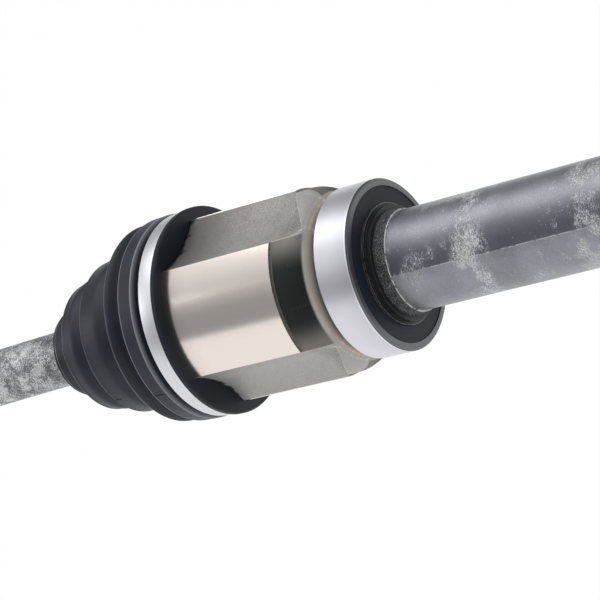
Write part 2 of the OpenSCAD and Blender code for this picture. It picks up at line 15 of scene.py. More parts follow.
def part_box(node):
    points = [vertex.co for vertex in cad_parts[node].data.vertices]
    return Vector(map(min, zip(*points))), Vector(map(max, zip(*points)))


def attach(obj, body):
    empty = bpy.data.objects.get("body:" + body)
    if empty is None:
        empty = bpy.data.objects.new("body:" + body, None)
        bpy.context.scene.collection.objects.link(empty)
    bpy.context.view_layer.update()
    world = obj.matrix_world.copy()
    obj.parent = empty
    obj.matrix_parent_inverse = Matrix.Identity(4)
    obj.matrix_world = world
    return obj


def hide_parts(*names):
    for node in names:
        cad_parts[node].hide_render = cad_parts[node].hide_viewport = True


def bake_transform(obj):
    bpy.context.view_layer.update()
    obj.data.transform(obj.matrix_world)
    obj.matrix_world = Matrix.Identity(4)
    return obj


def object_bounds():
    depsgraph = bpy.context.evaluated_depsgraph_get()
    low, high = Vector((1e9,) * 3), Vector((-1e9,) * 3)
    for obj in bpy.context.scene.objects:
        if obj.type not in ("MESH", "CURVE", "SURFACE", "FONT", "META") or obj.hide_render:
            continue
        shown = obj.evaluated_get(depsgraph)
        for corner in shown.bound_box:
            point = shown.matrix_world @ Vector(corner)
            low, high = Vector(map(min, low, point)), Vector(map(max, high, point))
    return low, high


bl_info = {
    "name": "CV Axle Shaft",
    "version": (1, 0, 0),
    "blender": (4, 5, 0),
    "location": "3D View > Sidebar > CV Axle",
    "description": "Finishes, boots and clamps for a drive shaft with a support bearing",
    "category": "Object",
}

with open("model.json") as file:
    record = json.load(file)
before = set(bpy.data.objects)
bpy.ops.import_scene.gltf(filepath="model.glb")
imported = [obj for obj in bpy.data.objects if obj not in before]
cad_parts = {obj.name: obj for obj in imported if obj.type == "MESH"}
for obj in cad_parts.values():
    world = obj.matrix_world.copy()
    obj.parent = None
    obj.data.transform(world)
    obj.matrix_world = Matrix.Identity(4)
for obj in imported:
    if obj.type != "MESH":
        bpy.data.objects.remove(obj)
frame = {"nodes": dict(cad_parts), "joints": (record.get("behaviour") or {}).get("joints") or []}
CAD_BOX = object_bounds()
MM = 0.001

JOINTS = {joint["name"]: joint for joint in frame["joints"]}
TRIPOD = Vector(JOINTS["inner_tilt_vertical"]["pos_m"])
BALL_JOINT = Vector(JOINTS["outer_steer_in"]["pos_m"])
SHAFT_WAY = (TRIPOD - BALL_JOINT).normalized()
DROOP = math.atan2(-SHAFT_WAY.z, SHAFT_WAY.x)


def low(node):
    """Lowest corner of a solid's box."""
    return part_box(node)[0]


def high(node):
    """Highest corner of a solid's box."""
    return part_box(node)[1]


# Housing and stem, read off the frame
RING_R = high("bearing_outer_ring").y
RING_HALF_W = high("bearing_outer_ring").x
COLLAR_R = high("retaining_collar").y
COLLAR_END = high("retaining_collar").x
LOCK_END = high("lock_ring").x
CLAMP_LEFT = low("inner_large_clamp").x
CLAMP_RIGHT = high("inner_large_clamp").x
RIB_R = high("inner_boot_cuff").y
FIRST_VALLEY = low("inner_boot_cuff").x
RIB_H = 1.3 * MM
CUFF_R = RIB_R - RIB_H
OUTER_CUFF_R = high("outer_boot_cuff").y

# Housing sizes that the box of a node doesn't give
LAND_R = 42 * MM
LAND_END = -28.4 * MM
SHOULDER_R = LAND_R - 1 * MM
SHOULDER_ROUND = 14 * MM
SHOULDER_X = -RING_HALF_W - 1.25 * MM - SHOULDER_ROUND
DARK_END = -14.5 * MM
FLASH_ANGLE = math.radians(158.4)
JOURNAL_START = 244 * MM
JOURNAL_END = 280 * MM
LOBE_ANGLE = math.radians(30)
LAND_HALF_W = 24 * MM
DARK_OPEN_END = -85.5 * MM
BELL_EDGE = -36 * MM

# Marks of the finishes, in millimetres along the axis: start, end and how soft the ends are
STRAW_BAND = (-13.4, -10.6, 0.8)
CHIPPED_LIP = (-21.5, -9.8, 0.4)
DARK_GRAIN = (-27, -17, 3)
GRIP_MARKS = ((50, 61, 4), (96, 122, 7))

# Marks of the mould on the inner boot: angle in degrees, start and end in millimetres
MOULD_TICKS = ((186, -107, -100.8), (185, -125, -120.5), (197, -141, -136))

# Boot lines in millimetres: knots of (station, radius less the cuff's radius), counted from the
# inner boot's first valley, and from the outer boot's start, which lies OUTER_START from its joint
TILT_END = 51.0
INNER_KNOTS = ((0, -4.3), (5.6, -0.3), (12.9, -11.9), (21.5, -9.6), (29.2, -10.1), (34, -16.5),
               (40.2, -14.5), (45.7, -15.5), (50.6, -27.3), (52.4, -27.3), (53.2, -25.5),
               (61.6, -25.9))
INNER_BEADS = (7.0, 30.6, 46.4)
INNER_SPLITS = (0, 21.5, 45.7, 61.6)
OUTER_START = 16.0
OUTER_KNOTS = ((0, 0), (2.5, -3), (7, 2.6), (12.5, -4), (17.5, -0.4), (23, -8.5), (28, -4.4),
               (32.5, -12.5), (37.5, -8.4), (42, -16.5), (47, -12.6), (51.5, -20.5), (56, -17),
               (61, -27.2))
OUTER_BEADS = (8.2, 18.5, 29, 38.5, 48, 57)
OUTER_SPLITS = (0, 12.5, 23, 32.5, 61)
FOLD_BEAD_REACH = 0.55

# Inner boot's cuff in metres: where its seat on the adapter ends, and how wide its beads are
CUFF_MOUTH = -97 * MM
CUFF_BEAD_REACH = 0.8 * MM

# Crimped ear of a clamp in millimetres: half its outline, along the band and out from it
EAR_LINE = ((5.2, 0.0), (3.6, 0.25), (2.4, 1.2), (1.9, 2.4), (2.2, 3.5), (1.9, 4.5), (0.9, 5.0),
            (0, 5.05))
EAR_THICK = 0.95
EAR_ANGLE = math.radians(-30)

# Roundness of the modelled pieces, and the largest share of a side that a fillet takes
SHARP_EDGE = math.radians(35)
FILLET_SHARE = 0.49
CORNER_STEPS = 4
CURVE_STEPS = 4
INNER_STEPS = 24
OUTER_STEPS = 16
TOLERANCE = 1e-6

# Studio in metres, and the photograph's camera
FLOOR_NEAR = -4.5
FLOOR_FAR = 14.0
FLOOR_HALF_W = 14.0
CAMERA_AZIMUTH = math.radians(39.278)
CAMERA_ELEVATION = math.radians(27.218)
CAMERA_ROLL = math.radians(-34.745)
CAMERA_TARGET = Vector((-0.04441, -0.00256, -0.00385))
CAMERA_LENS = 151.0
SENSOR = 36.0


class CvAxleColours(bpy.types.PropertyGroup):
    """Colours of the finishes, as they look in plain white light."""

    land: FloatVectorProperty(
        name="Machined land", description="Turned faces of the housing's lobes",
        subtype="COLOR", size=3, min=0, max=1, default=(0.85, 0.78, 0.72))
    forging: FloatVectorProperty(
        name="Forging", description="Blasted forged faces of the housing",
        subtype="COLOR", size=3, min=0, max=1, default=(0.37, 0.355, 0.335))
    stem: FloatVectorProperty(
        name="Stem", description="Slate skin of the forged stem",
        subtype="COLOR", size=3, min=0, max=1, default=(0.26, 0.265, 0.295))
    scuff: FloatVectorProperty(
        name="Scuffs", description="Rubbed patches of the stem and the half shaft",
        subtype="COLOR", size=3, min=0, max=1, default=(0.72, 0.72, 0.73))
    ring: FloatVectorProperty(
        name="Bearing ring", description="Ground outside of the support bearing",
        subtype="COLOR", size=3, min=0, max=1, default=(0.72, 0.717, 0.765))
    rubber: FloatVectorProperty(
        name="Rubber", description="Boots, seals and adapter",
        subtype="COLOR", size=3, min=0, max=1, default=(0.0075, 0.0115, 0.0215))
    clamp: FloatVectorProperty(
        name="Clamp", description="Bright boot clamps",
        subtype="COLOR", size=3, min=0, max=1, default=(0.74, 0.74, 0.77))
    bar: FloatVectorProperty(
        name="Half shaft", description="Dark skin of the half shaft",
        subtype="COLOR", size=3, min=0, max=1, default=(0.13, 0.135, 0.15))


class CvAxleSizes(bpy.types.PropertyGroup):
    """Sizes of the modelled rubber and clamps, and of the studio."""

    boot_sides: IntProperty(
        name="Boot sides", description="Faces around each boot", min=48, max=256, default=144)
    boot_wall: FloatProperty(
        name="Boot wall", description="Thickness of the folds",
        unit="LENGTH", min=0.0015, max=0.003, default=0.0016)
    edge_bead: FloatProperty(
        name="Edge bead", description="Height of the moulded bead on each fold",
        unit="LENGTH", min=0, max=0.001, default=0.0004)
    band_t: FloatProperty(
        name="Band", description="Thickness of the clamp bands",
        unit="LENGTH", min=0.0005, max=0.0015, default=0.0009)
    floor_drop: FloatProperty(
        name="Floor drop", description="Distance from the part down to the floor",
        unit="LENGTH", min=0, max=1, default=0.35)
    camera_distance: FloatProperty(
        name="Camera distance", description="From the camera to the point it looks at",
        unit="LENGTH", min=0.3, max=4, default=1.0948)


def colours():
    """The colours as they are set in the sidebar."""
    return bpy.context.scene.cv_axle_colours


def sizes():
    """The sizes as they are set in the sidebar."""
    return bpy.context.scene.cv_axle_sizes


class Value:
    """A number that a finish works out over a surface. Arithmetic on it adds Math nodes."""

    def __init__(self, finish, socket):
        self.finish = finish
        self.socket = socket

    def math(self, operation, *numbers):
        settings = {"operation": operation}
        return self.finish.add("ShaderNodeMath", settings, dict(enumerate(numbers)))

    def __add__(self, other):
        return self.math("ADD", self, other)

    def __radd__(self, other):
        return self.math("ADD", other, self)

    def __sub__(self, other):
        return self.math("SUBTRACT", self, other)

    def __rsub__(self, other):
        return self.math("SUBTRACT", other, self)

    def __mul__(self, other):
        return self.math("MULTIPLY", self, other)

    def __rmul__(self, other):
        return self.math("MULTIPLY", other, self)

    def __pow__(self, other):
        return self.math("POWER", self, other)

    def __abs__(self):
        return self.math("ABSOLUTE", self)

    def most(self, other):
        return self.math("MAXIMUM", self, other)

    def least(self, other):
        return self.math("MINIMUM", self, other)

    def rises(self, start, end):
        """0 below start and 1 above end, with a smooth step between; start may be the larger."""
        settings = {"interpolation_type": "SMOOTHSTEP"}
        if start > end:
            return 1 - self.rises(end, start)
        return self.finish.add("ShaderNodeMapRange", settings, {0: self, 1: start, 2: end})

    def within(self, start, end, soft):
        """1 between start and end and 0 outside, each end soft over twice that length."""
        return self.rises(start - soft, start + soft) * self.rises(end + soft, end - soft)


class Finish:
    """One material in the making: its nodes, its place on the part in millimetres, its shader."""

    def __init__(self, name, roughness=0.5, metallic=0.0, along_shaft=False):
        self.material = bpy.data.materials.new(name)
        self.material.use_nodes = True
        self.tree = self.material.node_tree
        self.shader = self.tree.nodes["Principled BSDF"]
        self.set("Roughness", roughness)
        self.set("Metallic", metallic)
        here = self.add("ShaderNodeTexCoord", {}, {}, "Object")
        if along_shaft:
            moved = self.add("ShaderNodeVectorMath", {"operation": "SUBTRACT"},
                             {0: here, 1: tuple(BALL_JOINT)})
            here = self.add("ShaderNodeMapping", {"vector_type": "POINT"},
                            {0: moved, "Rotation": (0, -DROOP, 0)})
        self.place = self.add("ShaderNodeVectorMath", {"operation": "SCALE"},
                              {0: here, "Scale": 1 / MM})
        split = self.add("ShaderNodeSeparateXYZ", {}, {0: self.place})
        self.x = Value(self, split.socket.node.outputs["X"])
        self.y = Value(self, split.socket.node.outputs["Y"])
        self.z = Value(self, split.socket.node.outputs["Z"])

    def add(self, kind, settings, inputs, output=0):
        """Adds a node, its settings first and then the values or links of its sockets."""
        node = self.tree.nodes.new(kind)
        for name, value in settings.items():
            if name == "stops":
                self.fill_ramp(node.color_ramp, value)
            else:
                setattr(node, name, value)
        for key, value in inputs.items():
            self.feed(node.inputs[key], value)
        return Value(self, node.outputs[output])

    def fill_ramp(self, ramp, stops):
        """Gives a colour ramp its stops of (position, colour)."""
        while len(ramp.elements) < len(stops):
            ramp.elements.new(1)
        for element, (position, colour) in zip(ramp.elements, stops):
            element.position = position
            element.color = (*colour, 1)

    def feed(self, socket, value):
        """Links a value to a socket, or sets a plain number, colour or vector on it."""
        if isinstance(value, Value):
            self.tree.links.new(value.socket, socket)
        elif socket.type == "RGBA":
            socket.default_value = (*value, 1)
        else:
            socket.default_value = value

    def set(self, name, value):
        """Feeds one of the shader's own sockets."""
        self.feed(self.shader.inputs[name], value)

    @property
    def radius(self):
        """Distance from the axis in millimetres."""
        return (self.y * self.y + self.z * self.z) ** 0.5

    def stretched(self, stretch):
        """The place on the part, scaled by a factor for each axis."""
        return self.add("ShaderNodeVectorMath", {"operation": "MULTIPLY"},
                        {0: self.place, 1: stretch})

    def noise(self, scale, detail=3.0, rough=0.5, stretch=(1, 1, 1), twist=0.0):
        """Noise with features of about 1 / scale millimetres, stretched along some axes."""
        return self.add("ShaderNodeTexNoise", {}, {
            "Vector": self.stretched(stretch), "Scale": scale, "Detail": detail,
            "Roughness": rough, "Distortion": twist})

    def cells(self, scale, stretch=(1, 1, 1)):
        """Distance to the nearest of scattered points, 0 at a point."""
        return self.add("ShaderNodeTexVoronoi", {},
                        {"Vector": self.stretched(stretch), "Scale": scale})

    def rings(self, scale):
        """Noise that changes with the radius alone, as moulded or turned rings do."""
        return self.add("ShaderNodeTexNoise", {"noise_dimensions": "1D"},
                        {"W": self.radius, "Scale": scale})

    def mix(self, factor, first, second):
        """The first colour where factor is 0 and the second where it is 1."""
        return self.add("ShaderNodeMix", {"data_type": "RGBA"}, {0: factor, 6: first, 7: second}, 2)

    def edges(self, radius):
        """1 along sharp edges of the solid, worn off over about radius millimetres."""
        round_way = self.add("ShaderNodeBevel", {"samples": 6}, {"Radius": radius * MM})
        flat_way = self.add("ShaderNodeNewGeometry", {}, {}, "Normal")
        along = self.add("ShaderNodeVectorMath", {"operation": "DOT_PRODUCT"},
                         {0: round_way, 1: flat_way}, "Value")
        return (1 - along).rises(0.01, 0.12)

    def bump(self, height, depth, strength):
        """Feeds the shader's normal with bumps of depth millimetres."""
        inputs = {"Height": height, "Distance": depth * MM, "Strength": strength}
        self.set("Normal", self.add("ShaderNodeBump", {}, inputs))

    def part(self, name):
        """A number stored on the mesh, such as how near a point is to a bead."""
        return self.add("ShaderNodeAttribute", {"attribute_name": name}, {}, "Fac")


def dress(finish, *nodes):
    """Gives carried-over solids their finish."""
    for node in nodes:
        solid = frame["nodes"][node]
        solid.data.materials.clear()
        solid.data.materials.append(finish.material)


def shaded(colour, factor):
    """A plain colour made darker or lighter."""
    return tuple(factor * c for c in colour)


# Finishes

def housing_zones(f):
    """Turned zones of the housing, each 1 on its zone and 0 off it, with two more numbers: lobes
    is 1 on the middle of a lobe and -1 in that of a hollow, and above is the distance over the
    turned outside in millimetres."""
    zones = SimpleNamespace()
    radius = f.radius
    angle = f.add("ShaderNodeMath", {"operation": "ARCTAN2"}, {0: f.z, 1: f.y})
    zones.lobes = f.add("ShaderNodeMath", {"operation": "COSINE"}, {0: 3 * (angle - LOBE_ANGLE)})

    over_x = (f.x - SHOULDER_X / MM).most(0)
    round_r = SHOULDER_ROUND / MM
    drop = round_r - (round_r ** 2 - (over_x * over_x).least(round_r ** 2)) ** 0.5
    zones.above = radius - (SHOULDER_R / MM - drop)
    zones.turned = zones.above.rises(-0.25, -0.05)
    zones.land = (radius.rises(LAND_R / MM - 0.35, LAND_R / MM - 0.2)
                  * f.x.rises(LAND_END / MM + 0.2, LAND_END / MM))

    from_middle = f.add("ShaderNodeMath", {"operation": "ARCCOSINE"}, {0: zones.lobes}) * (1 / 3)
    aside = radius * f.add("ShaderNodeMath", {"operation": "SINE"}, {0: from_middle})
    lobe_face = aside.rises(LAND_HALF_W / MM + 0.15, LAND_HALF_W / MM - 0.1)
    after_land = f.x.rises(LAND_END / MM - 0.1, LAND_END / MM + 0.1)
    relief = after_land * lobe_face * f.x.rises(DARK_END / MM + 0.5, DARK_END / MM - 0.5)
    zones.dark = zones.turned * relief
    zones.dome = zones.turned * after_land * (1 - zones.dark)
    return zones


def blasted_colour(f, grain, pits):
    """Forged hollows: shot-blast grain and pits, painted shade at the top near the boot, painted
    light low down, and a ragged dark band at the open end."""
    cloud = f.noise(0.11, 3, 0.5)
    forging = f.mix(cloud.rises(0.3, 0.7), shaded(colours().forging, 0.93),
                    shaded(colours().forging, 1.07))
    forging = f.mix(grain.rises(0.48, 0.58) * 0.42, forging, (0.15, 0.14, 0.13))
    specks = f.noise(2.2, 3, 0.8).rises(0.53, 0.60)
    forging = f.mix(specks * 0.35, forging, (0.85, 0.83, 0.80))
    forging = f.mix(pits * 0.5, forging, (0.07, 0.066, 0.062))
    # Painted shade on the top of the hollows near the boot.
    boot_shade = f.x.rises(-45, -82) * f.z.rises(-12, 2)
    forging = f.mix(boot_shade * 0.75, forging, (0.12, 0.115, 0.11))
    # Painted light: the hollows made paler low down, as if lit from below.
    forging = f.mix(f.z.rises(4, -14) * 0.35, forging, (0.62, 0.60, 0.58))
    coarse = f.x.within(*DARK_GRAIN) * grain.rises(0.40, 0.60)
    forging = f.mix(coarse * 0.45, forging, (0.10, 0.095, 0.09))
    # A ragged dark band towards the open end.
    ragged = f.x + (f.noise(0.16, 4, 0.6) - 0.5) * 11
    dark_open_end = ragged.rises(DARK_OPEN_END / MM + 1, DARK_OPEN_END / MM - 1)
    return f.mix(dark_open_end * 0.92, forging, (0.012, 0.013, 0.016))


def chipped_edges(f, zones):
    """Edges of the housing that are chipped bright, most of all around the shoulder."""
    torn = f.x.within(SHOULDER_X / MM - 2, DARK_END / MM + 3, 1) * (1 - zones.land)
    chipping = f.noise(0.5, 5, 0.7)
    chips = f.edges(0.55) * chipping.rises(0.45, 0.58) * (0.35 + torn * 0.5)
    in_hollow = (1 - zones.dark) * zones.lobes.rises(-0.5, -0.65)
    lip = zones.above.within(-0.7, -0.1, 0.08) * f.x.within(*CHIPPED_LIP) * in_hollow
    return chips.most(lip * chipping.rises(0.34, 0.5))


def turned_colour(f, zones, lines, forging):
    """Housing's colour: dome, relief painted dark as shade, straw band and lands over the forging.
    """
    domed = f.mix(f.noise(1.4, 3, 0.7).rises(0.4, 0.6) * 0.3,
                  (0.56, 0.545, 0.505), (0.42, 0.405, 0.375))
    domed = f.mix(zones.lobes.rises(0.2, -0.4) * 0.55, domed, colours().forging)
    colour = f.mix(zones.dome, forging, domed)
    # Painted shade on the relief: darkest across the middle of each lobe, lighter towards the
    # hollows and along a rim beside the land.
    relief_shade = zones.lobes.rises(-0.35, 0.7)
    groove = f.mix(relief_shade, (0.20, 0.188, 0.168), (0.018, 0.022, 0.020))
    rim = f.x.within(LAND_END / MM + 0.15, LAND_END / MM + 1.1, 0.12)
    groove = f.mix(rim * 0.8, groove, (0.20, 0.185, 0.16))
    colour = f.mix(zones.dark, colour, groove)
    straw = f.mix(f.x.rises(-12.6, -11.4), (0.66, 0.55, 0.40), (0.40, 0.36, 0.36))
    colour = f.mix(f.x.within(*STRAW_BAND) * zones.turned * 0.6, colour, straw)
    bright = f.mix(lines.rises(0.3, 0.7) * 0.25, colours().land, (0.62, 0.57, 0.53))
    # Painted shade on the land's far end, beside the boot's cuff.
    bright = f.mix(f.x.rises(-72, -86) * 0.4, bright, (0.55, 0.50, 0.46))
    return f.mix(zones.land, colour, bright)


def stem_zones(f):
    """Marks of the stem: the flash line, the painted shade above it, rubbed patches, the journal.
    """
    zones = SimpleNamespace()
    zones.over_flash = f.y * math.sin(FLASH_ANGLE) - f.z * math.cos(FLASH_ANGLE)
    zones.flash = ((1 - abs(zones.over_flash).rises(0.08, 0.3))
                   * f.noise(0.8, 3, 0.6).rises(0.4, 0.55))
    strokes = f.noise(2.0, 5, 0.8, stretch=(1, 0.4, 0.4), twist=1.5)
    worn = f.noise(0.05, 4, 0.65, stretch=(1, 0.7, 0.7)).rises(0.52, 0.66)
    first, second = (f.x.within(*mark) for mark in GRIP_MARKS)
    grip = (first + second).least(1) * f.noise(0.12, 3).rises(0.35, 0.6)
    flecks = (f.cells(0.75, stretch=(1, 0.8, 1)).rises(0.17, 0.08)
              * f.noise(0.45, 4, 0.8).rises(0.52, 0.60))
    wear = (worn * 0.6 + grip * 0.8).least(1)
    rubbed = (strokes + wear * 0.14).rises(0.60, 0.65) * wear.rises(0.05, 0.5)
    zones.rubbed = rubbed.most(flecks * 0.9)
    zones.ground = f.x.within(JOURNAL_START / MM, JOURNAL_END / MM, 0.3)
    return zones


def stem_colour(f, zones):
    """Stem's colour: slate skin, painted shade above the flash line, scuffs, journal and spline."""
    skin = f.mix(f.noise(0.05, 3, 0.5).rises(0.3, 0.7), shaded(colours().stem, 0.85),
                 shaded(colours().stem, 1.15))
    skin = f.mix(f.noise(2.0, 4, 0.8).rises(0.5, 0.62) * 0.3, skin, (0.50, 0.50, 0.53))
    # Painted shade on the band of the stem's side just above the flash line.
    flash_side_shade = zones.over_flash.rises(-0.5, 0.5) * zones.over_flash.rises(17, 7)
    skin = f.mix(flash_side_shade * 0.6, skin, (0.10, 0.105, 0.13))
    skin = f.mix(zones.rubbed, skin, colours().scuff)
    skin = f.mix(zones.flash * 0.7, skin, (0.60, 0.60, 0.62))
    skin = f.mix(zones.ground, skin, (0.68, 0.68, 0.69))
    spline = f.x.rises(JOURNAL_END / MM + 0.5, JOURNAL_END / MM + 1)
    return f.mix(spline, skin, (0.25, 0.25, 0.26))


def forged_housing():
    """Housing and stem: blasted forging, turned lands and shoulder, slate stem, ground journal."""
    f = Finish("forged_housing", roughness=0.5, metallic=1.0)
    on_stem = f.x.rises(COLLAR_END / MM - 1, COLLAR_END / MM)
    turned = housing_zones(f)
    stem = stem_zones(f)
    grain = f.noise(1.7, 3, 0.75)
    pits = f.noise(0.8, 5, 0.75).rises(0.62, 0.70)
    lines = f.noise(9, 2, 0.5, stretch=(1, 0, 0))
    chips = chipped_edges(f, turned)

    colour = turned_colour(f, turned, lines, blasted_colour(f, grain, pits))
    colour = f.mix(chips * (1 - on_stem), colour, (1, 0.99, 0.96))
    f.set("Base Color", f.mix(on_stem, colour, stem_colour(f, stem)))

    rough = 0.62 - 0.43 * turned.land - 0.10 * turned.dark - 0.06 * turned.dome
    rough = rough - on_stem * 0.24 + stem.rubbed * on_stem * 0.2
    f.set("Roughness", f.add("ShaderNodeMath", {"operation": "SUBTRACT", "use_clamp": True},
                             {0: rough, 1: on_stem * stem.ground * 0.1}))
    housing_metal = (0.5 + 0.5 * turned.land + 0.2 * turned.dark) * (1 - on_stem) * (1 - chips)
    scuffed = stem.rubbed.most(stem.flash) * (1 - stem.ground)
    f.set("Metallic", housing_metal + on_stem * (0.92 - scuffed * 0.75))

    rough_skin = (1 - turned.turned) * (1 - on_stem) * (grain * 0.5 + pits * -0.6)
    turned_skin = (turned.land + turned.dark + turned.dome).least(1) * lines * 0.05
    stem_grain = f.noise(0.9, 4, 0.6) * 0.3 + stem.rubbed * 0.2 + stem.flash * 0.5
    f.bump(rough_skin + turned_skin + on_stem * (1 - stem.ground) * stem_grain, 0.12, 0.8)
    return f


def ring_steel():
    """Ground bearing ring: bright outside with fine lines, darker side faces."""
    f = Finish("bearing_ring_steel", roughness=0.34, metallic=1.0)
    lines = f.noise(7, 3, 0.6, stretch=(1, 0, 0))
    face_lines = f.rings(6.0)
    side_x = RING_HALF_W / MM
    face = abs(f.x).rises(side_x - 0.75, side_x - 0.1)
    off_lip = abs(abs(f.x) - (side_x - 0.55)).rises(0.15, 0.35)
    lip = (1 - off_lip) * f.radius.rises(RING_R / MM - 1.5, RING_R / MM - 1)
    bright = f.mix(lines.rises(0.35, 0.7) * 0.3, colours().ring, shaded(colours().ring, 0.82))
    bright = f.mix(f.x.rises(5 - side_x, side_x), bright, shaded(colours().ring, 0.86))
    # Painted highlight: a white line on the outside near one edge of the ring.
    glint = f.x.within(side_x - 1.35, side_x - 0.95, 0.12)
    bright = f.mix(glint * 0.7, bright, (1, 1, 1))
    side = f.mix(face_lines.rises(0.3, 0.7), (0.13, 0.132, 0.145), (0.21, 0.212, 0.225))
    colour = f.mix(face, bright, side)
    f.set("Base Color", f.mix(lip * 0.8, colour, (0.05, 0.05, 0.055)))
    f.set("Roughness", 0.32 + lines * 0.08 + face * 0.1)
    f.bump(lines, 0.004, 0.5)
    return f


def seal_rubber():
    """Flat navy-black seal with faint moulded rings."""
    f = Finish("seal_rubber", roughness=0.5)
    rings = f.rings(1.2)
    speck = f.noise(3, 4, 0.7)
    colour = f.mix(rings.rises(0.3, 0.7), (0.009, 0.013, 0.022), (0.014, 0.019, 0.030))
    f.set("Base Color", f.mix(speck.rises(0.6, 0.8) * 0.4, colour, (0.04, 0.045, 0.06)))
    f.set("Specular IOR Level", 0.25)
    f.set("Roughness", 0.45 + speck * 0.15)
    f.bump(speck * 0.4 + rings, 0.05, 0.4)
    return f


def black_oxide(name, along_shaft=False, rim=0.0):
    """Blackened steel whose edges are rubbed bright, those beyond the radius rim most of all."""
    f = Finish(name, roughness=0.42, metallic=0.6, along_shaft=along_shaft)
    cloud = f.noise(0.4, 4, 0.6)
    at_rim = f.radius.rises(rim - 0.8, rim - 0.3).most(0.25)
    worn = f.edges(0.3) * f.noise(0.3, 3, 0.6).rises(0.3, 0.5) * at_rim
    colour = f.mix(cloud, (0.018, 0.019, 0.024), (0.045, 0.046, 0.054))
    f.set("Base Color", f.mix(worn, colour, (0.60, 0.60, 0.62)))
    f.set("Roughness", 0.36 + cloud * 0.2)
    f.bump(f.noise(4, 3, 0.6), 0.02, 0.5)
    return f


def rough_ring():
    """Sandy scale on the lock ring, rubbed bright along its rim."""
    f = Finish("scaled_steel", roughness=0.55, metallic=0.5)
    sand = f.noise(2.2, 5, 0.8)
    outer = f.x.rises(COLLAR_END / MM + 0.5, LOCK_END / MM)
    grit = f.cells(1.9).rises(0.40, 0.18) * (f.noise(0.3, 3).rises(0.35, 0.6) * 0.6 + outer * 0.5)
    rim = (f.x.rises(LOCK_END / MM - 0.5, LOCK_END / MM - 0.25)
           * f.noise(0.35, 3, 0.6).rises(0.32, 0.5))
    colour = f.mix(sand.rises(0.46, 0.62), (0.018, 0.020, 0.027), (0.15, 0.15, 0.165))
    colour = f.mix(grit * 0.8, colour, (0.62, 0.61, 0.62))
    f.set("Base Color", f.mix(rim * 0.9, colour, (0.80, 0.79, 0.78)))
    f.bump(sand + grit * 0.5, 0.2, 0.9)
    return f


def mould_ticks(f):
    """Short dark marks that the mould's parting line left on the inner boot."""
    marks = []
    for angle, start, end in MOULD_TICKS:
        turn = math.radians(angle)
        gap = abs(f.y * math.sin(turn) - f.z * math.cos(turn))
        marks.append(gap.rises(0.42, 0.15) * f.x.within(start, end, 0.3) * f.y.rises(0, -1))
    return reduce(Value.most, marks) * 0.9


def boot_rubber(name, along_shaft=False):
    """Moulded rubber: a slight bloom, fine dust specks, and a painted highlight on the beads."""
    f = Finish(name, roughness=0.5, along_shaft=along_shaft)
    bloom = f.noise(0.06, 4, 0.6)
    grain = f.noise(5, 3, 0.6)
    dust = f.cells(0.5).rises(0.06, 0.02) * f.noise(0.1, 2).rises(0.5, 0.6)
    colour = f.mix(bloom.rises(0.3, 0.7), shaded(colours().rubber, 0.8),
                   shaded(colours().rubber, 1.35))
    # Painted highlight on each moulded bead, standing for the thin light line along the folds.
    colour = f.mix(f.part("bead").rises(0.2, 0.75) * 0.85, colour, (0.26, 0.27, 0.30))
    ticks = 0.0 if along_shaft else mould_ticks(f)
    colour = f.mix(ticks, colour, (0.001, 0.001, 0.001))
    f.set("Base Color", f.mix(dust * 0.3, colour, (0.2, 0.2, 0.21)))
    f.set("Roughness", 0.41 + grain * 0.12 + ticks * 0.4)
    f.set("Specular IOR Level", 0.42)
    f.bump(grain * 0.1 - ticks, 0.4, 0.9)
    return f


def adapter_rubber():
    """Hard rubber adapter with lighter rubbed edges."""
    f = Finish("adapter_rubber", roughness=0.5)
    bloom = f.noise(0.08, 4, 0.6)
    grain = f.noise(4, 3, 0.6)
    worn = f.edges(0.35)
    colour = f.mix(bloom, shaded(colours().rubber, 0.6), colours().rubber)
    f.set("Base Color", f.mix(worn * 0.5, colour, (0.07, 0.075, 0.09)))
    f.set("Roughness", 0.44 + grain * 0.14)
    f.set("Specular IOR Level", 0.28)
    f.bump(grain + f.noise(0.5, 3), 0.04, 0.4)
    return f


def band_steel(name, along_shaft=False):
    """Satin stainless band with fine lines around it and a few nicks."""
    f = Finish(name, roughness=0.35, metallic=1.0, along_shaft=along_shaft)
    lines = f.noise(5, 3, 0.6, stretch=(1, 0.03, 0.03))
    nicks = f.noise(0.9, 5, 0.8).rises(0.66, 0.74)
    colour = f.mix(lines.rises(0.3, 0.7) * 0.35, colours().clamp, shaded(colours().clamp, 0.78))
    f.set("Base Color", f.mix(nicks * 0.4, colour, (0.35, 0.35, 0.37)))
    f.set("Roughness", 0.34 + lines * 0.1 + nicks * 0.2)
    f.bump(lines - nicks, 0.01, 0.5)
    return f


def shaft_bar():
    """Half shaft: dark skin, heavily rubbed with strokes around it."""
    f = Finish("rubbed_bar", roughness=0.4, metallic=0.92, along_shaft=True)
    strokes = f.noise(1.2, 6, 0.9, stretch=(1, 0.45, 0.45), twist=1.0)
    patches = f.noise(0.11, 4, 0.7)
    fine = f.noise(1.9, 5, 0.9)
    rubbed = (strokes * 0.45 + fine * 0.55 + (patches - 0.5) * 0.30).rises(0.485, 0.545)
    f.set("Base Color", f.mix(rubbed, colours().bar, colours().scuff))
    f.set("Metallic", 0.92 - rubbed * 0.4)
    f.set("Roughness", 0.42 - rubbed * 0.06)
    f.bump(rubbed * 0.6 + fine * 0.4, 0.08, 0.8)
    return f


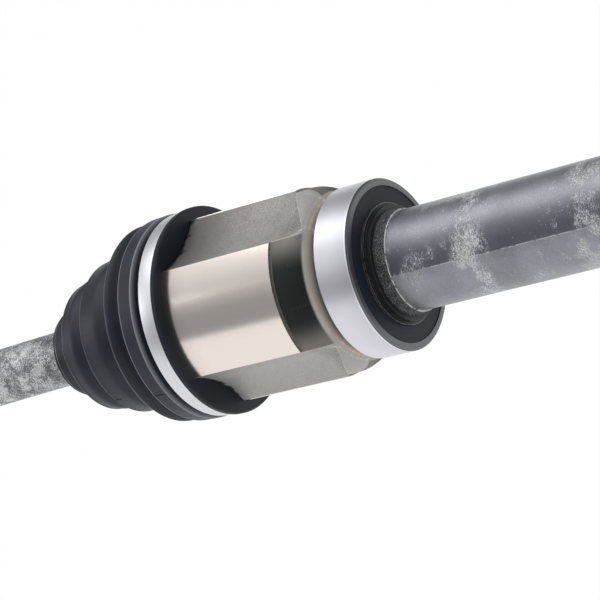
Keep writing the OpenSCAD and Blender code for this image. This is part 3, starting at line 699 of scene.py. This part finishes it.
def machined_steel(name, colour, along_shaft=False, roughness=0.25):
    """Turned or ground steel with lines around the axis, and a thin film of oil."""
    f = Finish(name, roughness=roughness, metallic=1.0, along_shaft=along_shaft)
    lines = f.noise(6, 3, 0.6, stretch=(1, 0.02, 0.02))
    film = f.noise(0.12, 3, 0.6)
    base = f.mix(lines.rises(0.3, 0.7) * 0.4, colour, shaded(colour, 0.75))
    f.set("Base Color", f.mix(film.rises(0.5, 0.8) * 0.25, base, shaded(colour, 0.6)))
    f.set("Roughness", roughness - 0.04 + lines * 0.08 + film * 0.06)
    f.bump(lines, 0.006, 0.5)
    return f


def moulded_nylon():
    """Glass-filled nylon of the bearing's cage."""
    f = Finish("cage_nylon", roughness=0.55)
    fibres = f.noise(2.5, 4, 0.7, stretch=(1, 0.3, 0.3))
    f.set("Base Color", f.mix(fibres, (0.50, 0.42, 0.27), (0.66, 0.58, 0.42)))
    f.bump(fibres, 0.03, 0.4)
    return f


def bell_steel():
    """Bell and stub axle: turned, blackened bell and bright machined stub."""
    f = Finish("bell_steel", roughness=0.35, metallic=1.0, along_shaft=True)
    on_stub = 1 - f.x.rises(BELL_EDGE / MM - 0.1, BELL_EDGE / MM + 0.3)
    lines = f.noise(4, 3, 0.6, stretch=(1, 0.02, 0.02))
    cloud = f.noise(0.08, 4, 0.6)
    worn = f.edges(0.5) * f.noise(0.6, 4, 0.6).rises(0.35, 0.55)
    skin = f.mix(cloud.rises(0.3, 0.7), (0.095, 0.097, 0.105), (0.16, 0.16, 0.17))
    skin = f.mix(lines.rises(0.5, 0.75) * 0.3, skin, (0.28, 0.28, 0.29))
    stub = f.mix(lines.rises(0.3, 0.7), (0.52, 0.51, 0.49), (0.68, 0.67, 0.65))
    colour = f.mix(on_stub, skin, stub)
    f.set("Base Color", f.mix(worn * 0.7, colour, (0.66, 0.65, 0.63)))
    f.set("Roughness", 0.42 - on_stub * 0.14 + cloud * 0.08)
    f.bump(lines * 0.1 + cloud * (1 - on_stub), 0.05, 0.5)
    return f


def zinc_plate():
    """Zinc-plated washer and nut: pale, faintly mottled, edges rubbed."""
    f = Finish("zinc_plate", roughness=0.33, metallic=1.0, along_shaft=True)
    mottle = f.noise(0.8, 4, 0.7)
    worn = f.edges(0.4)
    colour = f.mix(mottle, (0.58, 0.58, 0.56), (0.74, 0.735, 0.70))
    f.set("Base Color", f.mix(worn * 0.5, colour, (0.85, 0.85, 0.84)))
    f.set("Roughness", 0.27 + mottle * 0.14)
    f.bump(mottle, 0.02, 0.4)
    return f


# Mesh makers

def arc_corner(before, corner, after, fillet):
    """Points of a rounded corner between two straight stretches."""
    before, corner, after = (Vector(p) for p in (before, corner, after))
    a = before - corner
    b = after - corner
    half = a.angle(b) / 2
    reach = min(fillet / math.tan(half), FILLET_SHARE * a.length, FILLET_SHARE * b.length)
    start = corner + a.normalized() * reach
    end = corner + b.normalized() * reach
    return [start.lerp(corner, t).lerp(corner.lerp(end, t), t)
            for t in (k / CORNER_STEPS for k in range(CORNER_STEPS + 1))]


def rounded(outline):
    """A closed outline of (station, radius, fillet) corners as points with rounded corners."""
    points = []
    count = len(outline)
    for i, (station, radius, fillet) in enumerate(outline):
        if fillet <= 0:
            points.append(Vector((station, radius)))
        else:
            before, after = outline[i - 1][:2], outline[(i + 1) % count][:2]
            points += arc_corner(before, (station, radius), after, fillet)
    return points


def eased(t):
    """0 to 1 with a level start and end."""
    return t * t * (3 - 2 * t)


def smooth_line(knots, steps):
    """Points on a smooth line through knots of (station, radius), each stretch eased."""
    line = [Vector(knots[0])]
    for (x0, r0), (x1, r1) in zip(knots, knots[1:]):
        for k in range(1, steps + 1):
            t = k / steps
            line.append(Vector((x0 + (x1 - x0) * t, r0 + (r1 - r0) * eased(t))))
    return line


def lathe(name, outline, place, sides):
    """A closed ring: outline points (station, radius) carried round by place(point, angle)."""
    mesh = bmesh.new()
    rings = []
    for point in outline:
        rings.append([mesh.verts.new(place(point, 2 * math.pi * j / sides)) for j in range(sides)])
    for i, ring in enumerate(rings):
        after = rings[(i + 1) % len(rings)]
        for j in range(sides):
            k = (j + 1) % sides
            mesh.faces.new((ring[j], ring[k], after[k], after[j])).smooth = True
    bmesh.ops.recalc_face_normals(mesh, faces=mesh.faces)
    for edge in mesh.edges:
        edge.smooth = edge.calc_face_angle(0) < SHARP_EDGE
    return finish_mesh(name, mesh)


def finish_mesh(name, mesh):
    """Turns a bmesh into an object of the scene."""
    data = bpy.data.meshes.new(name)
    mesh.to_mesh(data)
    mesh.free()
    piece = bpy.data.objects.new(name, data)
    bpy.context.collection.objects.link(piece)
    return piece


def paint(piece, name, values):
    """Stores one number for each point of a mesh."""
    layer = piece.data.attributes.new(name, "FLOAT", "POINT")
    layer.data.foreach_set("value", values)


def straight(point, angle):
    """Place of an outline point about the housing's own axis."""
    return Vector((point[0], point[1] * math.cos(angle), point[1] * math.sin(angle)))


# Boots and clamps

def swing(station):
    """Turn of the inner boot's ring at a station: its share of the droop."""
    share = eased(min(1, max(0, station / (TILT_END * MM))))
    return Matrix.Rotation(DROOP * share, 3, "Y")


def in_inner_boot(point, angle):
    """Place of a boot point, its ring swung about the tripod."""
    from_tripod = straight((FIRST_VALLEY - TRIPOD.x - point[0], point[1]), angle)
    return TRIPOD + swing(point[0]) @ from_tripod


def fold_bend(start, end):
    """Where a fold of the inner boot bends: two points, so that both of its seams stay whole."""
    way = ((swing(start) + swing(end)) @ Vector((-1, 0, 0))).normalized()
    top_and_bottom = math.pi / 2, -math.pi / 2
    first = max(in_inner_boot((start, CUFF_R), turn).dot(way) for turn in top_and_bottom)
    last = min(in_inner_boot((end, CUFF_R), turn).dot(way) for turn in top_and_bottom)
    middle = in_inner_boot((start, 0), 0)
    return middle + way * (first - middle.dot(way)), middle + way * (last - middle.dot(way))


def in_outer_boot(point, angle):
    """Place of a boot point about the drooping half shaft."""
    from_joint = straight((point[0] + OUTER_START * MM, point[1]), angle)
    return BALL_JOINT + Matrix.Rotation(DROOP, 3, "Y") @ from_joint


def boot_line(knots, base, steps):
    """The boot's outer line in metres, radii counted from base."""
    return [Vector((p[0] * MM, base + p[1] * MM)) for p in smooth_line(knots, steps)]


def nearness(station, beads, reach):
    """1 at a bead, falling to 0 at reach from it."""
    return max((max(0, 1 - abs(station - bead) / reach) for bead in beads), default=0)


def beaded(name, outline, place, heights):
    """A turned ring that stores how near to a bead each point of its outline is."""
    sides = sizes().boot_sides
    piece = lathe(name, outline, place, sides)
    paint(piece, "bead", [height for height in heights for _ in range(sides)])
    return piece


def boot_section(name, line, beads, span, place):
    """One closed wall of a boot between two stations, with a small bead on each fold."""
    start, end = (s * MM for s in span)
    part = [p.copy() for p in line if start - TOLERANCE <= p[0] <= end + TOLERANCE]
    height = []
    for point in part:
        near = nearness(point[0] / MM, beads, FOLD_BEAD_REACH)
        point[1] += near * sizes().edge_bead
        height.append(near)
    inner = [Vector((p[0], p[1] - sizes().boot_wall)) for p in reversed(part)]
    return beaded(name, part + inner, place, height + [0.0] * len(inner))


def ring_piece(name, outline, node, finish, slot, beads=()):
    """A turned ring on the housing, with rounded corners, that stands for one solid."""
    points = rounded([(station, radius, fillet * MM) for station, radius, fillet in outline])
    heights = [nearness(p[0], beads, CUFF_BEAD_REACH) for p in points]
    settle(beaded(name, points, straight, heights), finish, slot, "housing", node)


def settle(piece, finish, slot, body, *nodes):
    """Gives a new piece its finish, the body it rides on, and the solids it replaces; slot is not
    used.
    """
    piece.data.materials.append(finish.material)
    if body:
        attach(piece, body)
    if nodes:
        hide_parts(*nodes)


def cuff_outline():
    """Outline of the inner boot's cuff with its flat rib, and the stations of its beads."""
    right = high("inner_boot_cuff").x
    seat_r = CUFF_R - 1.9 * MM
    groove_r = CUFF_R - 2 * MM
    valley_r = CUFF_R - 4.3 * MM
    bore = CUFF_R - 5 * MM
    outline = (
        (right, seat_r, 0), (right, CUFF_R, 0.3), (CLAMP_LEFT - 0.3 * MM, CUFF_R, 0.4),
        (CUFF_MOUTH - 0.4 * MM, groove_r, 0.5), (CUFF_MOUTH - 1.3 * MM, groove_r, 0.4),
        (CUFF_MOUTH - 3 * MM, RIB_R, 0.35), (CUFF_MOUTH - 4 * MM, RIB_R - 0.04 * MM, 0),
        (CUFF_MOUTH - 9.5 * MM, RIB_R - 0.26 * MM, 0),
        (CUFF_MOUTH - 10.5 * MM, RIB_R - 0.3 * MM, 0.5),
        (FIRST_VALLEY + 1.4 * MM, valley_r + 0.6 * MM, 0.6), (FIRST_VALLEY, valley_r, 0),
        (FIRST_VALLEY, valley_r - sizes().boot_wall, 0), (FIRST_VALLEY + 2 * MM, bore, 0),
        (CUFF_MOUTH, bore, 0), (CUFF_MOUTH, seat_r, 0))
    return outline, (CUFF_MOUTH - 3.2 * MM, CUFF_MOUTH - 10.5 * MM)


def curve_through(points):
    """Points of a smooth curve that passes through all those given."""
    line = []
    for i, (p, q) in enumerate(zip(points, points[1:])):
        before, after = points[max(i - 1, 0)], points[min(i + 2, len(points) - 1)]
        for k in range(CURVE_STEPS):
            t = k / CURVE_STEPS
            line.append(0.5 * (2 * p + (q - before) * t
                               + (2 * before - 5 * p + 4 * q - after) * t * t
                               + (3 * p - before - 3 * q + after) * t * t * t))
    return line + [points[-1]]


def crimp_ear(name, x0, x1, radius, angle):
    """The pinched ear of a clamp: a bent strip across the band."""
    half = [Vector(p) for p in EAR_LINE]
    line = curve_through(half + [Vector((-p[0], p[1])) for p in reversed(half[:-1])])
    mesh = bmesh.new()
    rows = []
    for i, point in enumerate(line):
        along = (line[min(i + 1, len(line) - 1)] - line[max(i - 1, 0)]).normalized()
        inward = Vector((along[1], -along[0])) * EAR_THICK
        row = []
        for side, depth, inset in ((x0, 0, 0.25), (x0, 0.25, 0), (x0, 0.75, 0), (x0, 1, 0.25),
                                   (x1, 1, -0.25), (x1, 0.75, 0), (x1, 0.25, 0), (x1, 0, -0.25)):
            flat = point + inward * depth
            out = radius / MM + flat[1]
            turn = angle + flat[0] / out
            row.append(mesh.verts.new(straight((side + inset * MM, out * MM), turn)))
        rows.append(row)
    for first, second in zip(rows, rows[1:]):
        for j in range(len(first)):
            k = (j + 1) % len(first)
            mesh.faces.new((first[j], first[k], second[k], second[j])).smooth = True
    mesh.faces.new(rows[0])
    mesh.faces.new(list(reversed(rows[-1])))
    bmesh.ops.recalc_face_normals(mesh, faces=mesh.faces)
    return finish_mesh(name, mesh)


class AxleOperator(bpy.types.Operator):
    """Common settings of the operators that dress the drive shaft."""

    bl_options = {"REGISTER", "UNDO"}


class CVAXLE_OT_bearing(AxleOperator):
    """Finishes the support bearing's rings, seals, cage and balls"""

    bl_idname = "cvaxle.bearing"
    bl_label = "Support Bearing"

    def execute(self, context):
        dress(ring_steel(), "bearing_outer_ring", "bearing_inner_ring")
        dress(seal_rubber(), "bearing_stem_seal", "bearing_joint_seal")
        dress(moulded_nylon(), "bearing_cage")
        balls = machined_steel("bearing_ball_steel", (0.80, 0.80, 0.81), roughness=0.1)
        dress(balls, "bearing_balls")
        return {"FINISHED"}


class CVAXLE_OT_housing(AxleOperator):
    """Finishes the tripod housing with its stem, the collar, the lock ring and the adapter"""

    bl_idname = "cvaxle.housing"
    bl_label = "Tripod Housing"

    def execute(self, context):
        dress(forged_housing(), "tulip_housing")
        dress(black_oxide("collar_oxide", rim=COLLAR_R / MM), "retaining_collar")
        dress(rough_ring(), "lock_ring")
        dress(machined_steel("stem_clip_steel", (0.33, 0.33, 0.34)), "stem_circlip")
        dress(adapter_rubber(), "trilobe_adapter")
        return {"FINISHED"}


class CVAXLE_OT_tripod(AxleOperator):
    """Finishes the tripod, its rollers, needles and clips"""

    bl_idname = "cvaxle.tripod"
    bl_label = "Tripod"

    def execute(self, context):
        dress(machined_steel("spider_steel", (0.55, 0.54, 0.52), True), "tripod_spider")
        dress(machined_steel("roller_steel", (0.68, 0.68, 0.68), True, 0.15),
              "tripod_roller_1", "tripod_roller_2", "tripod_roller_3")
        dress(machined_steel("needle_steel", (0.75, 0.75, 0.76), True, 0.12),
              "roller_needles_1", "roller_needles_2", "roller_needles_3")
        dress(machined_steel("tripod_clip_steel", (0.33, 0.33, 0.34), True),
              "spider_circlip", "roller_retainers", "race_circlip")
        return {"FINISHED"}


class CVAXLE_OT_half_shaft(AxleOperator):
    """Finishes the bar between the two joints"""

    bl_idname = "cvaxle.half_shaft"
    bl_label = "Half Shaft"

    def execute(self, context):
        dress(shaft_bar(), "half_shaft")
        return {"FINISHED"}


class CVAXLE_OT_ball_joint(AxleOperator):
    """Finishes the wheel-end joint, its stub axle, washer and nut"""

    bl_idname = "cvaxle.ball_joint"
    bl_label = "Ball Joint"

    def execute(self, context):
        dress(machined_steel("race_steel", (0.60, 0.60, 0.60), True, 0.2), "cv_inner_race")
        dress(black_oxide("ball_cage_oxide", True), "cv_ball_cage")
        dress(machined_steel("cv_ball_steel", (0.80, 0.80, 0.81), True, 0.08), "cv_balls")
        dress(bell_steel(), "wheel_stub")
        dress(zinc_plate(), "hub_washer", "hub_nut")
        return {"FINISHED"}


class CVAXLE_OT_inner_boot(AxleOperator):
    """Models the rubber boot between the housing and the half shaft"""

    bl_idname = "cvaxle.inner_boot"
    bl_label = "Inner Boot"

    def execute(self, context):
        rubber = boot_rubber("inner_boot_rubber")
        line = boot_line(INNER_KNOTS, CUFF_R, INNER_STEPS)
        nodes = ("inner_boot_fold_a", "inner_boot_fold_b", "inner_boot_fold_c")
        for i, node in enumerate(nodes):
            start, end = span = INNER_SPLITS[i], INNER_SPLITS[i + 1]
            piece = boot_section(node + "_rubber", line, INNER_BEADS, span, in_inner_boot)
            settle(piece, rubber, "boot_rubber", None, node)
            near, far = fold_bend(start * MM, min(end, TILT_END) * MM)
            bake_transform(piece)
        outline, beads = cuff_outline()
        ring_piece("inner_boot_cuff_rubber", outline, "inner_boot_cuff", rubber, "boot_rubber",
                   beads)
        return {"FINISHED"}


class CVAXLE_OT_outer_boot(AxleOperator):
    """Models the rubber boot of the wheel-end joint"""

    bl_idname = "cvaxle.outer_boot"
    bl_label = "Outer Boot"

    def execute(self, context):
        rubber = boot_rubber("outer_boot_rubber", True)
        line = boot_line(OUTER_KNOTS, OUTER_CUFF_R, OUTER_STEPS)
        nodes = ("outer_boot_fold_d", "outer_boot_fold_c", "outer_boot_fold_b",
                 "outer_boot_fold_a")
        for i, node in enumerate(nodes):
            span = OUTER_SPLITS[i], OUTER_SPLITS[i + 1]
            piece = boot_section(node + "_rubber", line, OUTER_BEADS, span, in_outer_boot)
            settle(piece, rubber, "boot_rubber", None, node)
            near, far = (in_outer_boot((s * MM, 0), 0) for s in span)
            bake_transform(piece)
        dress(rubber, "outer_boot_cuff", "outer_boot_neck")
        return {"FINISHED"}


class CVAXLE_OT_clamps(AxleOperator):
    """Models the crimped large clamp of the inner boot, and finishes the other clamps"""

    bl_idname = "cvaxle.clamps"
    bl_label = "Boot Clamps"

    def execute(self, context):
        bright = band_steel("clamp_band_steel")
        band_r = CUFF_R + sizes().band_t
        outline = ((CLAMP_LEFT, CUFF_R, 0), (CLAMP_LEFT, band_r, 0.25),
                   (CLAMP_RIGHT, band_r, 0.25), (CLAMP_RIGHT, CUFF_R, 0))
        ring_piece("inner_large_clamp_band", outline, "inner_large_clamp", bright, "clamp_steel")
        ear = crimp_ear("inner_large_clamp_ear", CLAMP_LEFT, CLAMP_RIGHT, band_r, EAR_ANGLE)
        settle(ear, bright, "clamp_steel", "housing")
        dress(black_oxide("small_clamp_oxide", True), "inner_small_clamp")
        dress(band_steel("outer_clamp_steel", True), "outer_small_clamp", "outer_large_clamp")
        return {"FINISHED"}


class CVAXLE_OT_studio(AxleOperator):
    """Makes the white floor, the soft lamps, the world and the photograph's camera"""

    bl_idname = "cvaxle.studio"
    bl_label = "Studio"

    def execute(self, context):
        make_floor()
        make_world()
        soft_lamp("overhead", (-0.25, 0.35, 1.3), (-0.05, 0, 0), (1.4, 1.0), 5.5)
        soft_lamp("side", (-1.3, -0.4, 0.7), (-0.1, 0, 0), (0.7, 0.7), 3.5)
        make_camera()
        context.scene.view_settings.view_transform = "Standard"
        return {"FINISHED"}


def seen_rays(f):
    """Two numbers: 1 for rays from the camera, and 1 for these and what metal or glass shows."""
    path = f.add("ShaderNodeLightPath", {}, {}).socket.node
    names = ("Is Camera Ray", "Is Glossy Ray", "Is Transmission Ray")
    camera, glossy, through = (Value(f, path.outputs[name]) for name in names)
    return camera, camera.most(glossy).most(through)


def make_floor():
    """A white floor under the part that stays white for the camera and keeps a soft shadow."""
    bottom = CAD_BOX[0].z - sizes().floor_drop
    corners = ((-FLOOR_HALF_W, FLOOR_NEAR), (FLOOR_HALF_W, FLOOR_NEAR),
               (FLOOR_HALF_W, FLOOR_FAR), (-FLOOR_HALF_W, FLOOR_FAR))
    mesh = bmesh.new()
    mesh.faces.new([mesh.verts.new((x, y, bottom)) for x, y in corners])
    floor = finish_mesh("studio_floor", mesh)
    f = Finish("white_floor", roughness=1)
    seen = seen_rays(f)[1]
    white = f.add("ShaderNodeEmission", {}, {"Color": (1, 1, 1), "Strength": 1.0})
    f.set("Base Color", (0.92, 0.92, 0.92))
    mixed = f.add("ShaderNodeMixShader", {},
                  {0: 0.35 + seen * 0.64, 1: Value(f, f.shader.outputs[0]), 2: white})
    f.feed(f.tree.nodes["Material Output"].inputs["Surface"], mixed)
    floor.data.materials.append(f.material)


class World(Finish):
    """The nodes of the world, made the way that a finish makes them."""

    def __init__(self, name):
        world = bpy.data.worlds.new(name)
        world.use_nodes = True
        self.tree = world.node_tree
        self.world = world


def make_world():
    """White behind the part; in reflections a grey room between a white floor and ceiling."""
    w = World("studio")
    bpy.context.scene.world = w.world
    way = w.add("ShaderNodeTexCoord", {}, {}, "Generated")
    height = Value(w, w.add("ShaderNodeSeparateXYZ", {}, {0: way}).socket.node.outputs["Z"])
    stops = ((0.0, (1, 1, 1)), (0.545, (1, 1, 1)), (0.552, (0.33, 0.33, 0.345)),
             (0.74, (0.34, 0.34, 0.35)), (0.86, (0.55, 0.55, 0.56)), (0.93, (1, 1, 1)))
    room = w.add("ShaderNodeValToRGB", {"stops": stops}, {0: height * 0.5 + 0.5})
    colour = w.mix(seen_rays(w)[0], room, (1, 1, 1))
    w.feed(w.tree.nodes["Background"].inputs["Color"], colour)


def soft_lamp(name, place, target, size, power):
    """A soft rectangular lamp that faces its target."""
    lamp = bpy.data.lights.new(name, "AREA")
    lamp.shape = "RECTANGLE"
    lamp.size, lamp.size_y = size
    lamp.energy = power
    holder = bpy.data.objects.new(name, lamp)
    holder.location = place
    holder.rotation_euler = (Vector(target) - Vector(place)).to_track_quat("-Z", "Y").to_euler()
    bpy.context.collection.objects.link(holder)


def make_camera():
    """The photograph's camera: which way it looks, how it is rolled and how far off it stands."""
    camera = bpy.data.cameras.new("photo_camera")
    camera.lens = CAMERA_LENS
    camera.sensor_width = SENSOR
    holder = bpy.data.objects.new("photo_camera", camera)
    turn = (Matrix.Rotation(CAMERA_AZIMUTH, 3, "Z")
            @ Matrix.Rotation(math.pi / 2 - CAMERA_ELEVATION, 3, "X")
            @ Matrix.Rotation(CAMERA_ROLL, 3, "Z"))
    holder.rotation_euler = turn.to_euler()
    holder.location = CAMERA_TARGET + turn @ Vector((0, 0, sizes().camera_distance))
    bpy.context.collection.objects.link(holder)
    bpy.context.scene.camera = holder


class CVAXLE_PT_panel(bpy.types.Panel):
    """Lists the steps that dress the drive shaft"""

    bl_idname = "CVAXLE_PT_panel"
    bl_label = "CV Axle Shaft"
    bl_space_type = "VIEW_3D"
    bl_region_type = "UI"
    bl_category = "CV Axle"

    def draw(self, context):
        layout = self.layout
        for settings in (context.scene.cv_axle_colours, context.scene.cv_axle_sizes):
            for name in settings.bl_rna.properties.keys():
                if name not in ("rna_type", "name"):
                    layout.prop(settings, name)
        for step in STEPS:
            layout.operator(step.bl_idname)


STEPS = (CVAXLE_OT_bearing, CVAXLE_OT_housing, CVAXLE_OT_tripod, CVAXLE_OT_half_shaft,
         CVAXLE_OT_ball_joint, CVAXLE_OT_inner_boot, CVAXLE_OT_outer_boot, CVAXLE_OT_clamps,
         CVAXLE_OT_studio)
CLASSES = (CvAxleColours, CvAxleSizes, *STEPS, CVAXLE_PT_panel)


def register():
    for kind in CLASSES:
        bpy.utils.register_class(kind)
    bpy.types.Scene.cv_axle_colours = PointerProperty(type=CvAxleColours)
    bpy.types.Scene.cv_axle_sizes = PointerProperty(type=CvAxleSizes)


def unregister():
    del bpy.types.Scene.cv_axle_sizes
    del bpy.types.Scene.cv_axle_colours
    for kind in reversed(CLASSES):
        bpy.utils.unregister_class(kind)


def main():
    register()
    bpy.ops.cvaxle.studio()
    bpy.ops.cvaxle.bearing()
    bpy.ops.cvaxle.housing()
    bpy.ops.cvaxle.tripod()
    bpy.ops.cvaxle.half_shaft()
    bpy.ops.cvaxle.ball_joint()
    bpy.ops.cvaxle.inner_boot()
    bpy.ops.cvaxle.outer_boot()
    bpy.ops.cvaxle.clamps()


if __name__ == "__main__":
    main()
